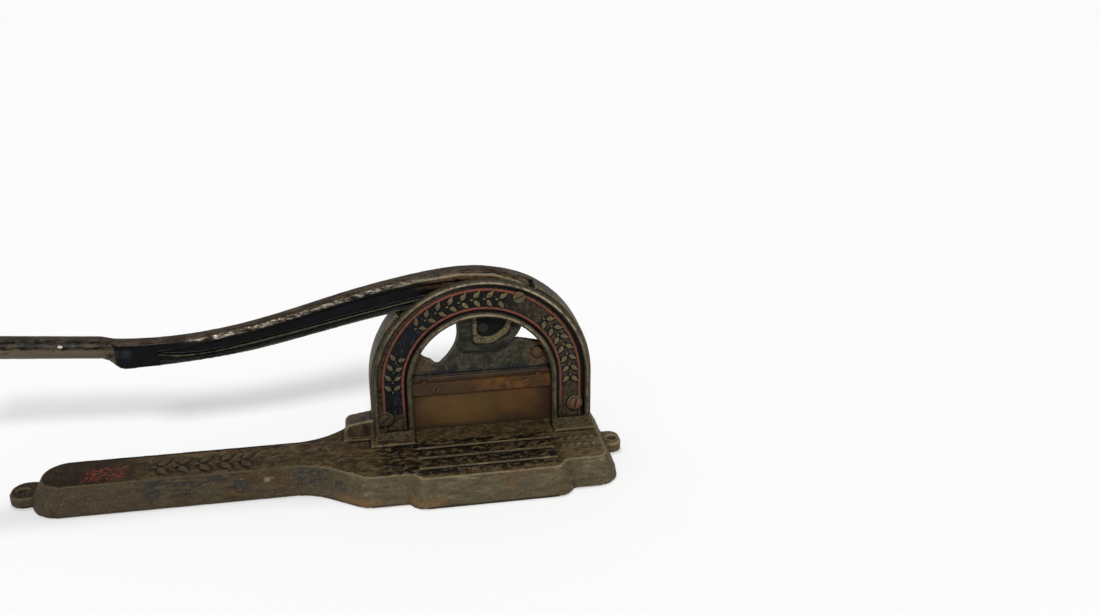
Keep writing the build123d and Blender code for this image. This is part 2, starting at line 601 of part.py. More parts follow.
# Round-headed stud in the carrier's right ear
with BuildPart() as carrier_stud:
    with BuildSketch(upright(PEG_BACK_Y)):
        with Locations((STUD_X, STUD_Z)):
            Circle(STUD_R)
    extrude(amount=PEG_BACK_Y - CARRIER_FRONT_Y)
    with BuildSketch(upright(CARRIER_FRONT_Y)):
        with Locations((STUD_X, STUD_Z)):
            Circle(STUD_HEAD_R)
    extrude(amount=2.6)
    fillet(faces().sort_by(Axis.Y)[0].edges(), 1.6)

# Guide strips, clamped between the front plate and the leg pads
GUIDE_INNER_X = CLAMP_HALF + 0.5
GUIDE_OUTER_X = 70.5
GUIDE_Z = 42.0
GUIDE_H = 40.0


def guide_strip(side, hole_place):
    """L-shaped strip: a flange under the front plate and a rib that faces the blade's edge."""
    with BuildSketch(upright(LEG_PAD_FRONT_Y)) as flange:
        with Locations((side * (GUIDE_INNER_X + GUIDE_OUTER_X) / 2, GUIDE_Z)):
            Rectangle(GUIDE_OUTER_X - GUIDE_INNER_X, GUIDE_H)
    extrude(flange.sketch, amount=GAP_Y + LEG_PAD_FRONT_Y)
    with BuildSketch(upright(-BLADE_HALF_Y - 0.2)) as rib:
        with Locations((side * (GUIDE_INNER_X + LEG_PAD_X - 0.4) / 2, GUIDE_Z)):
            Rectangle(LEG_PAD_X - 0.4 - GUIDE_INNER_X, GUIDE_H)
    extrude(rib.sketch, amount=-BLADE_HALF_Y - 0.2 - LEG_PAD_FRONT_Y)
    with BuildSketch(upright(0)) as hole:
        with Locations(hole_place):
            Circle(LEG_SCREW_R + RUN_FIT)
    extrude(hole.sketch, amount=THROUGH, mode=Mode.SUBTRACT)


with BuildPart() as guide_left:
    guide_strip(-1, LEG_SCREWS[0])

with BuildPart() as guide_right:
    guide_strip(1, LEG_SCREWS[1])

# Screws through the legs with their square nuts, and the screws up through the base
with BuildPart() as leg_screws:
    for (screw_x, screw_z), angle in zip(LEG_SCREWS, (35, 80)):
        slotted_screw(screw_x, screw_z, LEG_SEAT_Y - LEG_HEAD_H, LEG_SEAT_Y, FRAME_BACK_Y + 1.5 * LEG_NUT_H,
                      LEG_HEAD_R, LEG_SCREW_R, angle, 1.2)

with BuildPart() as leg_nuts:
    with BuildSketch(upright(FRAME_BACK_Y + LEG_NUT_H)):
        for place, turn in zip(LEG_SCREWS, (10, 38)):
            with Locations(place):
                Rectangle(LEG_NUT, LEG_NUT, rotation=turn)
                Circle(LEG_SCREW_R + RUN_FIT, mode=Mode.SUBTRACT)
    extrude(amount=LEG_NUT_H)

with BuildPart() as base_screws:
    with BuildSketch(Plane.XY.offset(BOSS_Z)):
        with Locations(*BASE_SCREWS):
            Circle(BASE_SCREW_R)
    extrude(amount=BASE_SCREW_TOP_Z - BOSS_Z)
    with BuildSketch(Plane.XY.offset(BOSS_Z - BASE_HEAD_H)):
        with Locations(*BASE_SCREWS):
            Circle(BASE_HEAD_R)
    extrude(amount=BASE_HEAD_H)
    with BuildSketch(Plane.XY.offset(BOSS_Z - BASE_HEAD_H)):
        with Locations(*BASE_SCREWS):
            Rectangle(2 * BASE_HEAD_R + 1, 1.5)
    extrude(amount=1.4, mode=Mode.SUBTRACT)

PIECES = {
    "base": base,
    "rear_frame": rear_frame,
    "front_plate": front_plate,
    "lever": lever,
    "drive_pin": drive_pin,
    "pivot_bolt": pivot_bolt,
    "pivot_spacer": pivot_spacer,
    "pivot_washer": pivot_washer,
    "pivot_nut": pivot_nut,
    "blade_carrier": blade_carrier,
    "blade": blade,
    "clamp_bar": clamp_bar,
    "clamp_screws": clamp_screws,
    "blade_dowels": blade_dowels,
    "carrier_stud": carrier_stud,
    "guide_left": guide_left,
    "guide_right": guide_right,
    "leg_screws": leg_screws,
    "leg_nuts": leg_nuts,
    "base_screws": base_screws,
}
for name, piece in PIECES.items():
    piece.part.label = name
    export_step(piece.part, f"parts/{name}.step")
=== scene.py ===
import json
import math

import bmesh
import bpy
import numpy as np
from mathutils import Matrix, Vector

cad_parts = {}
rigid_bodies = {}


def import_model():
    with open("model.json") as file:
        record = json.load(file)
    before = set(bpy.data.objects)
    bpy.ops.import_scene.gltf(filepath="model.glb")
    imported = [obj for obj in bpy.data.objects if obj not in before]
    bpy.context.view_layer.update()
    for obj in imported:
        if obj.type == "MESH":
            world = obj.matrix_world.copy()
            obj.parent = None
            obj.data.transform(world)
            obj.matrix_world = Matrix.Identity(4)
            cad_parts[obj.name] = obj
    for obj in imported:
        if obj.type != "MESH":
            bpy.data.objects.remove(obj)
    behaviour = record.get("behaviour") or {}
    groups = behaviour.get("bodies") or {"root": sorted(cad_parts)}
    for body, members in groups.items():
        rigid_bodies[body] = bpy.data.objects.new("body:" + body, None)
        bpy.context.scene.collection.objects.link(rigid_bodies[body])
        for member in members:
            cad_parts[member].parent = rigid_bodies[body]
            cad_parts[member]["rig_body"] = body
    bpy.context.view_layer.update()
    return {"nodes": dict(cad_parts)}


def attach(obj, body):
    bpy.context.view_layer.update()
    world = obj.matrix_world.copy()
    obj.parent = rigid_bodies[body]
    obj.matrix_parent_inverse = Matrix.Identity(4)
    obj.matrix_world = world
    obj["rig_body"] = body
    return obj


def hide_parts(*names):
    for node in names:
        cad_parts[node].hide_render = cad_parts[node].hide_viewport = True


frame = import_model()

# The frame is in metres: X along the base, Y to the back, Z up, with the blade in the plane Y = 0.
MM = 0.001
BASE_TOP = 18 * MM
FOOT_Z = 19.2 * MM         # where the arch's feet stand on their pads
SPRING_Z = 55 * MM         # centre of the arch's half circles
LEG = SPRING_Z - FOOT_Z    # straight stretch of the arch below its half circle
FIELD_FACE_Y = -9.6 * MM   # face of the front plate's field
BEAD_FACE_Y = -11.2 * MM   # face of the plate's raised borders
FIELD_MID_R = 59.8 * MM    # middle of the band that carries the ornament
OUTER_LINE = (65.3, 66.9)  # radii of the two painted lines, in millimetres
INNER_LINE = (52.5, 54.0)
OUTER_BEAD_R = 71.4        # radii of the mouldings on the two borders, in millimetres
INNER_BEAD_R = 48.9

# Upper edge of the lever's arm, as (x, z) in millimetres
ARM_TOP = ((-231, 100), (-195, 99.3), (-170, 101.8), (-145, 106.1), (-115, 113.8), (-88, 120.9),
           (-63, 126.7), (-40, 131), (-12, 134), (10, 132.2), (26, 126.2), (40, 116))

# Stretches of the arch's band that carry leaves: start and end as distances from the left foot, and sprigs
ARCH_LEAVES = (
    (30.8 * MM, LEG + math.radians(23) * FIELD_MID_R, 4),
    (LEG + math.radians(42) * FIELD_MID_R, LEG + math.radians(106) * FIELD_MID_R, 8),
    (LEG + math.radians(132) * FIELD_MID_R, LEG + math.pi * FIELD_MID_R + 5 * MM, 7),
)

# Leaves along the tail and rows of studs at the right end, in millimetres
TAIL_LEAF_START = -214
TAIL_LEAF_PITCH = 13.2
TAIL_LEAF_COUNT = 5
TAIL_LEAF_Y = -20.5
STUD_START = 50
STUD_PITCH = 5.0
STUD_COUNT = 5
STUD_ROWS_Y = (-31, -40)

BEAD_STATIONS = 110     # steps along a moulding from foot to foot
BEAD_FACETS = 8         # facets round its half circle
BEAD_ROOT = 1.5 * MM    # how far it reaches into the plate
LEAF_STEPS = 8          # steps along each side of a leaf
LEAF_TAPER = 0.85       # below 1, a leaf is widest nearer its root
LEAF_ROOT = 0.8 * MM    # how far it reaches into the casting

NARROW_PASSES = 8       # rounds of smoothing that tell sharp edges and creases
BROAD_PASSES = 40       # rounds that tell wide hollows


# ---------------------------------------------------------------- meshes

def new_object(name, mesh):
    piece = bpy.data.objects.new(name, mesh)
    bpy.context.scene.collection.objects.link(piece)
    return piece


def bake_modifiers(piece):
    """Replaces a piece's mesh by what its modifiers make of it."""
    view = bpy.context.evaluated_depsgraph_get()
    made = bpy.data.meshes.new_from_object(piece.evaluated_get(view))
    piece.modifiers.clear()
    piece.data = made


def add_grain(piece, size, strength):
    """Pushes the surface in and out by soft noise, as sand casting leaves it."""
    texture = bpy.data.textures.new(f"{piece.name}_grain", "CLOUDS")
    texture.noise_scale = size
    texture.noise_depth = 3
    push = piece.modifiers.new("grain", "DISPLACE")
    push.texture = texture
    push.texture_coords = "LOCAL"
    push.strength = strength
    push.mid_level = 0.5


def store(mesh, name, values):
    """Stores one number for each point of the mesh under a name that shaders read."""
    layer = mesh.attributes.new(name, "FLOAT", "POINT")
    layer.data.foreach_set("value", values.astype(np.float32))


def neighbour_mean(mesh):
    """A function that averages a value over each point's neighbours."""
    count = len(mesh.vertices)
    ends = np.empty(len(mesh.edges) * 2, dtype=np.int64)
    mesh.edges.foreach_get("vertices", ends)
    start, stop = ends.reshape(-1, 2).T
    valence = np.bincount(start, minlength=count) + np.bincount(stop, minlength=count)
    valence = np.maximum(valence, 1)

    def average(values):
        return (np.bincount(start, values[stop], count) + np.bincount(stop, values[start], count)) / valence

    return average


def mark_surface(mesh, reach):
    """Stores how far each point stands out or lies in, as a share of reach, and how far it looks up."""
    count = len(mesh.vertices)
    points = np.empty(count * 3)
    normals = np.empty(count * 3)
    mesh.vertices.foreach_get("co", points)
    mesh.vertices.foreach_get("normal", normals)
    points = points.reshape(-1, 3)
    normals = normals.reshape(-1, 3)
    average = neighbour_mean(mesh)
    smooth = points.copy()
    marks = {}
    done = 0
    for passes, signs in ((NARROW_PASSES, {"edge": 1, "crease": -1}), (BROAD_PASSES, {"hollow": -1})):
        for _ in range(passes - done):
            for axis in range(3):
                smooth[:, axis] = 0.5 * smooth[:, axis] + 0.5 * average(smooth[:, axis])
        done = passes
        full = reach * math.sqrt(passes / NARROW_PASSES)
        height = average(((points - smooth) * normals).sum(1)) / full
        for name, sign in signs.items():
            marks[name] = sign * height
    marks["up"] = average(normals[:, 2])
    for name, values in marks.items():
        store(mesh, name, np.clip(values, 0, 1))


def mark_drop(piece):
    """Stores how many millimetres each point of the lever lies below the arm's upper edge."""
    points = np.empty(len(piece.data.vertices) * 3)
    piece.data.vertices.foreach_get("co", points)
    x, _, z = points.reshape(-1, 3).T / MM
    along, height = np.array(ARM_TOP).T
    store(piece.data, "drop", np.interp(x, along, height) - z)


def recast(node, material, voxel, soften=2, grain=(), extra=None, reach=0.25 * MM):
    """A CAD node as an old casting: evenly meshed, edges softened, surface grained, wear marked."""
    source = frame["nodes"][node]
    mesh = source.data.copy()
    mesh.materials.clear()
    if extra:
        shape = bmesh.new()
        shape.from_mesh(mesh)
        extra(shape)
        shape.to_mesh(mesh)
        shape.free()
    piece = new_object(f"worn_{node}", mesh)
    remesh = piece.modifiers.new("even", "REMESH")
    remesh.mode = "VOXEL"
    remesh.voxel_size = voxel * 1
    smooth = piece.modifiers.new("soften", "SMOOTH")
    smooth.factor = 0.5
    smooth.iterations = soften
    for size, strength in grain:
        add_grain(piece, size, strength)
    bake_modifiers(piece)
    for polygon in piece.data.polygons:
        polygon.use_smooth = True
    mark_surface(piece.data, reach)
    piece.data.materials.append(material)
    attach(piece, source["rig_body"])
    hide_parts(node)
    return piece


def add_solid(shape, rings):
    """Adds a closed solid through equal rings of points, with its two ends capped."""
    rows = [[shape.verts.new(point) for point in ring] for ring in rings]
    size = len(rows[0])
    for row, following in zip(rows, rows[1:]):
        for i in range(size):
            j = (i + 1) % size
            shape.faces.new((row[i], row[j], following[j], following[i]))
    shape.faces.new(rows[0][::-1])
    shape.faces.new(rows[-1])


# ---------------------------------------------------------------- raised work

def arch_point(along, radius, mid_radius):
    """Point (x, z) at a radius, a distance along from the left foot measured at the middle radius."""
    if along < LEG:
        return -radius, FOOT_Z + along
    angle = (along - LEG) / mid_radius
    if angle > math.pi:
        return radius, SPRING_Z - (along - LEG - math.pi * mid_radius)
    return -radius * math.cos(angle), SPRING_Z + radius * math.sin(angle)


def add_bead(shape, radius, half_width, height, face_y):
    """Half-round moulding that follows the arch from foot to foot."""
    length = 2 * LEG + math.pi * radius
    rings = []
    for station in range(BEAD_STATIONS + 1):
        along = length * station / BEAD_STATIONS
        ring = []
        for k in range(BEAD_FACETS + 1):
            turn = math.pi * k / BEAD_FACETS
            x, z = arch_point(along, radius + half_width * math.cos(turn), radius)
            ring.append((x, face_y - height * math.sin(turn), z))
        for side in (-1, 1):
            x, z = arch_point(along, radius + side * half_width, radius)
            ring.append((x, face_y + BEAD_ROOT, z))
        rings.append(ring)
    add_solid(shape, rings)


def add_leaf(shape, place, root, tip, width, height):
    """Low crowned leaf from root to tip in the plane that place maps to space."""
    root = Vector(root)
    tip = Vector(tip)
    side = (tip - root).orthogonal().normalized()
    outline = []
    for k in range(2 * LEAF_STEPS):
        outward = k <= LEAF_STEPS
        t = k / LEAF_STEPS if outward else 2 - k / LEAF_STEPS
        bulge = math.sin(math.pi * t ** LEAF_TAPER) * width / 2 * (1 if outward else -1)
        outline.append(root.lerp(tip, t) + side * bulge)
    centre = root.lerp(tip, 0.5)
    rings = []
    for size, rise in ((1.0, -LEAF_ROOT), (1.0, 0.2 * height), (0.84, 0.75 * height), (0.45, height)):
        rings.append([place(*centre.lerp(point, size), rise) for point in outline])
    add_solid(shape, rings)


def add_sprig(shape, place, pitch, half, leaf_width, height):
    """One unit of a leaf band: two leaves that part to either side, and a small lozenge between them."""
    for side in (-1, 1):
        root = (0.1 * pitch, side * 0.12 * half)
        tip = (0.62 * pitch, side * half)
        add_leaf(shape, place, root, tip, leaf_width, height)
    lozenge = 0.2 * pitch
    add_leaf(shape, place, (-lozenge * 1.15, 0), (lozenge * 0.45, 0), lozenge * 0.9, height)


def dress_plate(shape):
    """Mouldings and leaf band cast on the front plate."""
    seat = BEAD_FACE_Y + 0.2 * MM
    add_bead(shape, OUTER_BEAD_R * MM, half_width=1.3 * MM, height=0.9 * MM, face_y=seat)
    add_bead(shape, INNER_BEAD_R * MM, half_width=1.6 * MM, height=0.8 * MM, face_y=seat)
    for inner, outer in (OUTER_LINE, INNER_LINE):
        add_bead(shape, (inner + outer) / 2 * MM, (outer - inner) / 2 * MM, 0.5 * MM, FIELD_FACE_Y)
    for start, end, count in ARCH_LEAVES:
        pitch = (end - start) / count
        for i in range(count):
            middle = start + (i + 0.4) * pitch

            def place(along, across, rise, middle=middle):
                x, z = arch_point(middle + along, FIELD_MID_R + across, FIELD_MID_R)
                return x, FIELD_FACE_Y - rise, z

            add_sprig(shape, place, pitch, half=5.6 * MM, leaf_width=3.5 * MM, height=1.3 * MM)


def dress_base(shape):
    """Low leaf work on the tail and rows of studs at the right end of the base."""
    for i in range(TAIL_LEAF_COUNT):
        def place(along, across, rise, x=(TAIL_LEAF_START + TAIL_LEAF_PITCH * i) * MM):
            return x + along, TAIL_LEAF_Y * MM + across, BASE_TOP + rise

        add_sprig(shape, place, TAIL_LEAF_PITCH * MM, half=10 * MM, leaf_width=5.4 * MM, height=1.5 * MM)
    for row_y in STUD_ROWS_Y:
        for i in range(STUD_COUNT):
            def place(along, across, rise, x=(STUD_START + STUD_PITCH * i) * MM, y=row_y * MM):
                return x + along, y + across, BASE_TOP + rise

            root = (-2.0 * MM, -1.4 * MM)
            tip = (2.0 * MM, 1.4 * MM)
            add_leaf(shape, place, root, tip, width=2.2 * MM, height=0.7 * MM)


# ---------------------------------------------------------------- materials

def tint(*screen):
    """Screen colour, three numbers from 0 to 255, as the linear colour that shaders take."""
    return tuple(((c / 255 + 0.055) / 1.055) ** 2.4 if c > 10 else c / 255 / 12.92 for c in screen)


BLACK = tint(13, 13, 14)
NAVY = tint(15, 19, 28)
SOOT_AND_SHADE = tint(9, 8, 7)
DARK_RUST = tint(40, 29, 18)
RUST = tint(80, 60, 38)
BROWN = tint(104, 80, 50)
OLIVE = tint(82, 75, 56)
TAN = tint(126, 112, 84)
PALE_TAN = tint(164, 150, 122)
STEEL = tint(196, 190, 176)
CREAM = tint(200, 190, 160)
LINE_RED = tint(118, 58, 48)
LINE_RED_DULL = tint(90, 56, 46)
LINE_RED_BROWN = tint(92, 56, 44)
FLECK_RED = tint(164, 68, 54)


class Shade:
    """One node material. Each method adds nodes and returns their output."""

    def __init__(self, name):
        self.material = bpy.data.materials.new(name)
        self.material.use_nodes = True
        self.nodes = self.material.node_tree.nodes
        self.links = self.material.node_tree.links
        self.nodes.clear()
        self.surface = self.nodes.new("ShaderNodeBsdfPrincipled")
        output = self.nodes.new("ShaderNodeOutputMaterial")
        self.links.new(self.surface.outputs["BSDF"], output.inputs["Surface"])
        self.place = self.nodes.new("ShaderNodeTexCoord").outputs["Object"]

    def feed(self, socket, value):
        """Links a node's output to a socket, or sets a plain value on it."""
        if isinstance(value, bpy.types.NodeSocket):
            self.links.new(value, socket)
        elif isinstance(value, tuple) and socket.type == "RGBA":
            socket.default_value = (*value, 1)
        else:
            socket.default_value = value

    def moved(self, stretch, shift=0.0):
        """Place on the object, stretched and shifted so that no two noises fall together."""
        node = self.nodes.new("ShaderNodeMapping")
        self.links.new(self.place, node.inputs["Vector"])
        node.inputs["Scale"].default_value = stretch
        node.inputs["Location"].default_value = (shift, 1.7 * shift, 0.6 * shift)
        return node.outputs["Vector"]

    def noise(self, size, detail, rough, stretch=(1, 1, 1), shift=0.0, warp=0.0):
        """Noise with features about size millimetres across."""
        node = self.nodes.new("ShaderNodeTexNoise")
        self.links.new(self.moved(stretch, shift), node.inputs["Vector"])
        node.inputs["Scale"].default_value = 1 / (size * MM)
        node.inputs["Detail"].default_value = detail
        node.inputs["Roughness"].default_value = rough
        node.inputs["Distortion"].default_value = warp
        return node.outputs["Fac"]

    def math(self, operation, a, b=0.0):
        node = self.nodes.new("ShaderNodeMath")
        node.operation = operation
        self.feed(node.inputs[0], a)
        self.feed(node.inputs[1], b)
        return node.outputs[0]

    def times(self, *factors):
        result = factors[0]
        for factor in factors[1:]:
            result = self.math("MULTIPLY", result, factor)
        return result

    def plus(self, *terms):
        result = terms[0]
        for term in terms[1:]:
            result = self.math("ADD", result, term)
        return result

    def sway(self, noise, amount):
        """Noise about zero: it swings by half of amount to either side."""
        return self.times(self.math("SUBTRACT", noise, 0.5), amount)

    def step(self, value, low, high, start=0.0, end=1.0):
        """Smooth change from start to end as value goes from low to high."""
        node = self.nodes.new("ShaderNodeMapRange")
        node.interpolation_type = "SMOOTHSTEP"
        for socket, number in zip(node.inputs, (value, low, high, start, end)):
            self.feed(socket, number)
        return node.outputs["Result"]

    def within(self, value, low, high, soft):
        """1 where value lies from low to high, fading over soft outside."""
        return self.times(self.step(value, low - soft, low), self.step(value, high, high + soft, 1.0, 0.0))

    def mix(self, share, a, b):
        """Colour a where share is 0, b where it is 1."""
        node = self.nodes.new("ShaderNodeMix")
        node.data_type = "RGBA"
        self.feed(node.inputs[0], share)
        self.feed(node.inputs[6], a)
        self.feed(node.inputs[7], b)
        return node.outputs[2]

    def over(self, under, layer, *shares):
        """A colour layer laid over the one under it, as thick as the product of the shares."""
        return self.mix(self.times(*shares), under, layer)

    def blend(self, share, a, b):
        """Number a where share is 0, b where it is 1."""
        node = self.nodes.new("ShaderNodeMix")
        node.data_type = "FLOAT"
        self.feed(node.inputs[0], share)
        self.feed(node.inputs[2], a)
        self.feed(node.inputs[3], b)
        return node.outputs[0]

    def attribute(self, name):
        """What mark_surface or mark_drop stored on the mesh under a name."""
        node = self.nodes.new("ShaderNodeAttribute")
        node.attribute_name = name
        return node.outputs["Fac"]

    def axes(self):
        """Place in millimetres along X, Y and Z."""
        node = self.nodes.new("ShaderNodeSeparateXYZ")
        self.links.new(self.moved((1 / MM, 1 / MM, 1 / MM)), node.inputs[0])
        return node.outputs

    def finish(self, colour, roughness, specular, bumps=(), metallic=0.0):
        """The material, with its bumps as pairs of a height and its depth in millimetres."""
        self.feed(self.surface.inputs["Base Color"], colour)
        self.feed(self.surface.inputs["Roughness"], roughness)
        self.feed(self.surface.inputs["Metallic"], metallic)
        self.surface.inputs["Specular IOR Level"].default_value = specular
        normal = None
        for height, depth in bumps:
            node = self.nodes.new("ShaderNodeBump")
            node.inputs["Strength"].default_value = 1.0
            node.inputs["Distance"].default_value = depth * MM
            self.links.new(height, node.inputs["Height"])
            if normal:
                self.links.new(normal, node.inputs["Normal"])
            normal = node.outputs["Normal"]
        if normal:
            self.links.new(normal, self.surface.inputs["Normal"])
        return self.material


def base_iron():
    """Old cast iron: grey-olive streaked skirts, brown tops with black pits, pale rubbed edges."""
    s = Shade("base_iron")
    x, y, z = s.axes()
    broad = s.noise(34, 4, 0.55)
    patch = s.noise(8, 8, 0.66, shift=1.3)
    streak = s.noise(4, 7, 0.66, stretch=(0.3, 1, 1.2), shift=4.1)
    crust = s.noise(3.2, 9, 0.74, stretch=(0.7, 1, 1), shift=7.7, warp=0.4)
    fine = s.noise(1.4, 6, 0.74, shift=2.2)
    flecks = s.noise(1.5, 6, 0.75, stretch=(0.45, 1, 1), shift=9.3)
    grit = s.noise(0.6, 3, 0.6, shift=3.7)
    top = s.step(s.attribute("up"), 0.84, 0.96)
    tail = s.step(x, -150, -60, 1.0, 0.0)

    # Skirts: streaks under clouds of rust, darker toward the tail
    skirt = s.mix(s.step(streak, 0.36, 0.62), tint(68, 61, 45), tint(87, 79, 60))
    skirt = s.over(skirt, RUST, s.step(broad, 0.5, 0.66), 0.8)
    skirt = s.over(skirt, TAN, s.step(streak, 0.58, 0.66), s.step(crust, 0.44, 0.54), 0.8)
    skirt = s.over(skirt, DARK_RUST, s.step(crust, 0.46, 0.38), 0.45)
    skirt = s.over(skirt, DARK_RUST, tail, s.step(streak, 0.28, 0.6), 0.72)

    # What is left of the blue-black paint, high on the skirts
    upper = s.within(z, 8, 16.5, 2.5)
    stretches = s.plus(s.within(x, -214, -164, 14), s.within(x, -124, -98, 8))
    islands = s.step(s.plus(s.times(crust, 0.5), s.times(streak, 0.5)), 0.48, 0.54)
    skirt = s.over(skirt, tint(30, 34, 38), islands, upper, stretches, 0.75)

    # Two brown bruises low down, then speckle, a painted contact shadow along the floor and one pale scrape
    bruises = s.plus(s.within(x, -92, -80, 12), s.within(x, -50, -38, 9))
    low = s.step(s.plus(z, s.times(patch, 14)), 15, 11)
    skirt = s.over(skirt, BROWN, bruises, low, s.step(fine, 0.36, 0.5), 0.85)
    skirt = s.over(skirt, TAN, s.step(fine, 0.56, 0.68), 0.5)
    skirt = s.over(skirt, DARK_RUST, s.step(fine, 0.44, 0.32), 0.65)
    skirt = s.over(skirt, tint(60, 66, 58), s.step(crust, 0.56, 0.64), s.step(broad, 0.44, 0.56), 0.5)
    # Painted contact shadow: darkest where the skirt meets the floor
    skirt = s.over(skirt, SOOT_AND_SHADE, s.step(z, 2.2, 0.6), 0.8)
    scrape = s.times(s.within(x, -144, -141, 2.5), s.within(z, 11.5, 12.5, 1.2), s.step(crust, 0.42, 0.5))
    skirt = s.over(skirt, TAN, scrape, 0.8)

    # Tops: brown with tan speckle, dark at the tail's end, black pits on the table, red flecks on the tail
    crown = s.mix(s.step(patch, 0.34, 0.62), tint(46, 34, 19), tint(78, 59, 36))
    crown = s.over(crown, tint(90, 77, 50), s.step(fine, 0.5, 0.6), 0.7)
    crown = s.over(crown, tint(96, 86, 62), s.step(crust, 0.53, 0.58), 0.65)
    crown = s.over(crown, tint(32, 20, 12), s.step(x, -205, -250), s.step(fine, 0.7, 0.5), 0.9)
    table = s.times(s.within(x, -66, 40, 9), s.within(y, -60, -20, 3))
    pits = s.plus(s.times(streak, 0.35), s.times(crust, 0.65))
    black = s.times(s.step(pits, 0.495, 0.465), s.blend(table, 0.5, 1.0))
    black = s.math("MAXIMUM", black, s.times(table, s.step(pits, 0.535, 0.505), 0.8))
    crown = s.over(crown, SOOT_AND_SHADE, black)
    crown = s.over(crown, tint(92, 79, 56), s.step(x, 40, 56), s.step(crust, 0.38, 0.52), 0.85)
    red = s.times(s.step(flecks, 0.54, 0.57), s.within(x, -256, -234, 4), s.within(y, -30, -17, 3))
    crown = s.over(crown, FLECK_RED, red, s.step(fine, 0.36, 0.46), 0.95)

    # Both together: a dark back rim on the tail, rubbed edges, grime and painted shade in creases and
    # hollows
    colour = s.mix(top, skirt, crown)
    colour = s.over(colour, SOOT_AND_SHADE, top, tail, s.step(y, -6.6, -4.6), 0.85)
    proud = s.step(s.attribute("edge"), 0.2, 0.75)
    rubbed = s.times(proud, s.step(fine, 0.3, 0.55), s.step(z, 19.0, 19.15, 0.75, 0.4))
    colour = s.over(colour, s.mix(tail, TAN, OLIVE), rubbed)
    shelf = s.step(z, 15, 17)
    # Grime and painted shade in creases and wide hollows, stronger on the tops
    colour = s.over(colour, SOOT_AND_SHADE, s.step(s.attribute("crease"), 0.04, 0.5), s.blend(shelf, 0.25, 1.0))
    colour = s.over(colour, SOOT_AND_SHADE, s.step(s.attribute("hollow"), 0.1, 0.9), s.blend(shelf, 0.2, 0.7))

    gloss = s.plus(s.blend(black, 0.6, 0.4), s.sway(fine, 0.4))
    dents = s.times(s.plus(s.times(patch, 0.3), s.times(crust, 0.7)), s.blend(top, 0.7, 1.0))
    return s.finish(colour, gloss, specular=0.1, bumps=((dents, 1.5), (fine, 0.45), (grit, 0.1)))


def japanned_frame():
    """Streaky olive paint of the arch's wall and back, rubbed tan along edges and brown at the foot."""
    s = Shade("japanned_frame")
    z = s.axes()[2]
    broad = s.noise(26, 4, 0.6)
    patch = s.noise(6, 8, 0.7, stretch=(1, 1, 0.5), shift=1.3)
    fine = s.noise(1.1, 6, 0.7, shift=2.2)
    colour = s.mix(s.step(broad, 0.35, 0.6), tint(52, 54, 46), tint(76, 69, 50))
    colour = s.over(colour, tint(48, 42, 32), s.step(patch, 0.5, 0.7))
    colour = s.over(colour, BLACK, s.step(patch, 0.5, 0.38))
    colour = s.over(colour, tint(38, 36, 29), s.step(z, 96, 112), s.step(fine, 0.62, 0.46), 0.75)
    earthy = s.mix(s.step(patch, 0.4, 0.6), DARK_RUST, tint(70, 59, 40))
    colour = s.over(colour, earthy, s.step(z, 24, 42, 1.0, 0.0), 0.85)
    rubbed = s.times(s.step(s.attribute("edge"), 0.25, 0.8), s.step(fine, 0.32, 0.55))
    colour = s.over(colour, TAN, rubbed, 0.65)
    # Grime and painted shade in the creases
    colour = s.over(colour, SOOT_AND_SHADE, s.step(s.attribute("crease"), 0.05, 0.55))
    gloss = s.plus(0.48, s.sway(fine, 0.4))
    return s.finish(colour, gloss, specular=0.12, bumps=((patch, 0.4), (fine, 0.2)))


